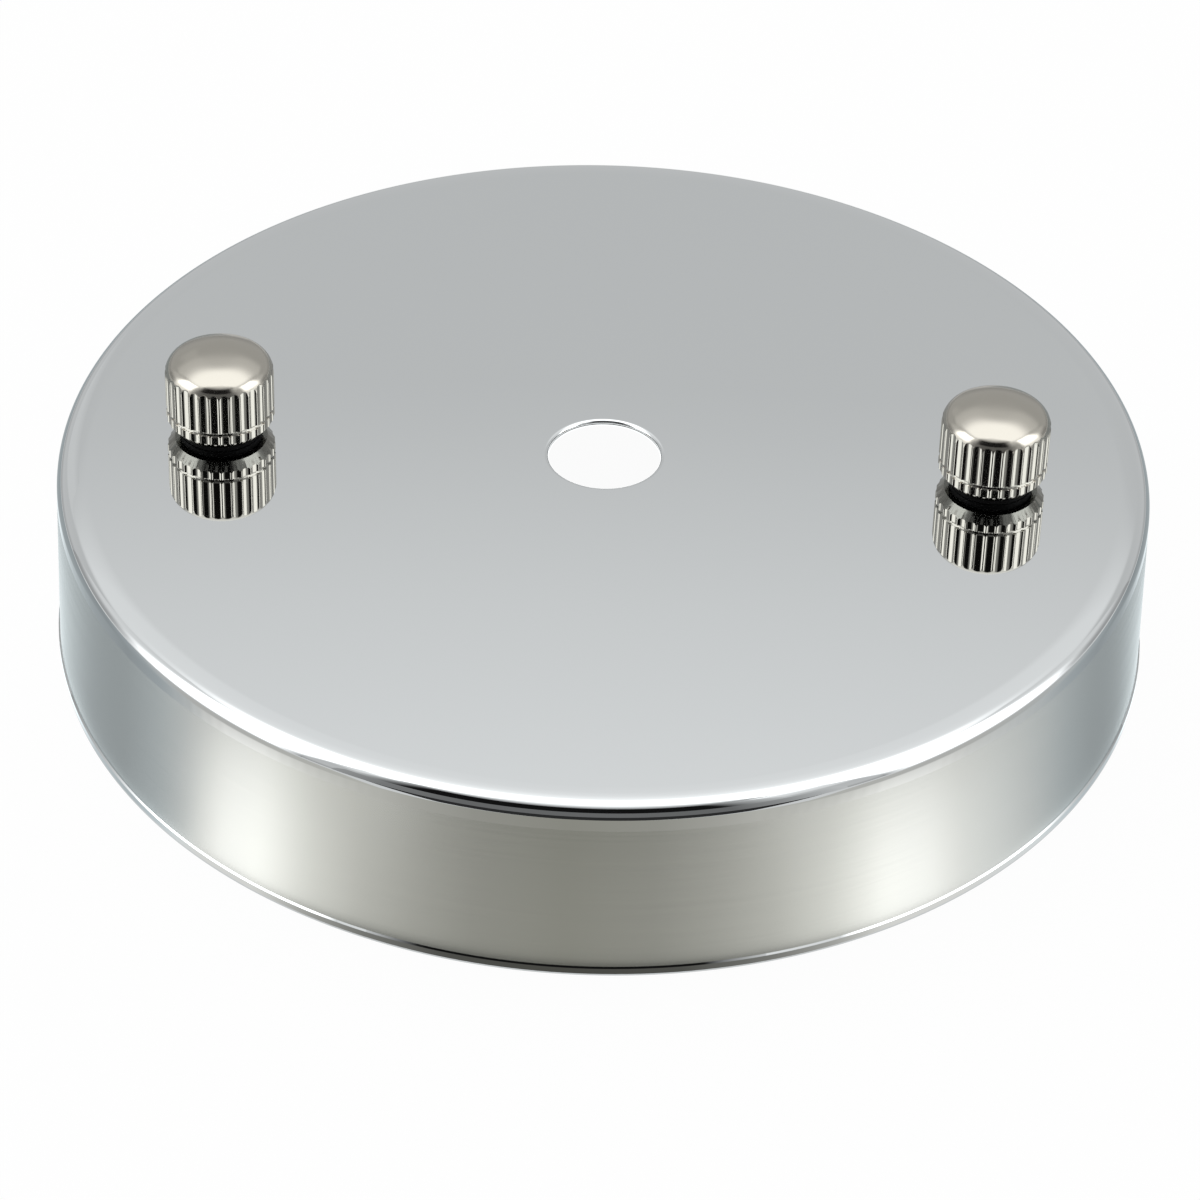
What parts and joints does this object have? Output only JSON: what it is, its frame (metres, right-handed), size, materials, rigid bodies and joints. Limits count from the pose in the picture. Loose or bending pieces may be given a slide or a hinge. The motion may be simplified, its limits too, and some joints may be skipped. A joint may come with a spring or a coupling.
{
  "type": "ceiling canopy",
  "caption": "Round flat-faced ceiling canopy of polished metal with a central cord hole, held to a hidden crossbar by knurled cap nuts.",
  "frame": {"origin": "middle of the rim's plane, which lies against the ceiling in use", "axes": "+Z out of the face, away from the ceiling; +X from the left cap nut to the right one"},
  "size_m": [0.1, 0.1, 0.0263],
  "materials": {
    "polished_plate": "mirror-polished nickel-chrome plate on drawn steel sheet",
    "satin_nickel": "nickel-plated turned brass, satin dome and bright flutes",
    "brass_screw": "bright brass screw",
    "zinc_plate": "bright zinc plate on steel",
    "black_rubber": "matt black rubber"
  },
  "bodies": {
    "canopy": {"canopy_cover": "polished_plate", "crossbar": "zinc_plate", "left_stud": "brass_screw", "right_stud": "brass_screw", "left_locknut": "zinc_plate", "right_locknut": "zinc_plate"},
    "left_washer": {"left_washer": "black_rubber"},
    "left_nut": {"left_cap_nut": "satin_nickel"},
    "right_washer": {"right_washer": "black_rubber"},
    "right_nut": {"right_cap_nut": "satin_nickel"}
  },
  "joints": [
    {"name": "left_nut_rise", "type": "slide", "parent": "canopy", "child": "left_washer", "axis": [0, 0, 1], "range_m": [0, 0.0049]},
    {"name": "left_nut_turn", "type": "hinge", "parent": "left_washer", "child": "left_nut", "pos_m": [-0.035, 0, 0.0188], "axis": [0, 0, 1], "range_deg": [0, 2521]},
    {"name": "right_nut_rise", "type": "slide", "parent": "canopy", "child": "right_washer", "axis": [0, 0, 1], "range_m": [0, 0.0049]},
    {"name": "right_nut_turn", "type": "hinge", "parent": "right_washer", "child": "right_nut", "pos_m": [0.035, 0, 0.0188], "axis": [0, 0, 1], "range_deg": [0, 2521]}
  ],
  "couplings": [
    {"joint": "left_nut_turn", "follows": "left_nut_rise", "rad_per_m": 8976},
    {"joint": "right_nut_turn", "follows": "right_nut_rise", "rad_per_m": 8976}
  ]
}
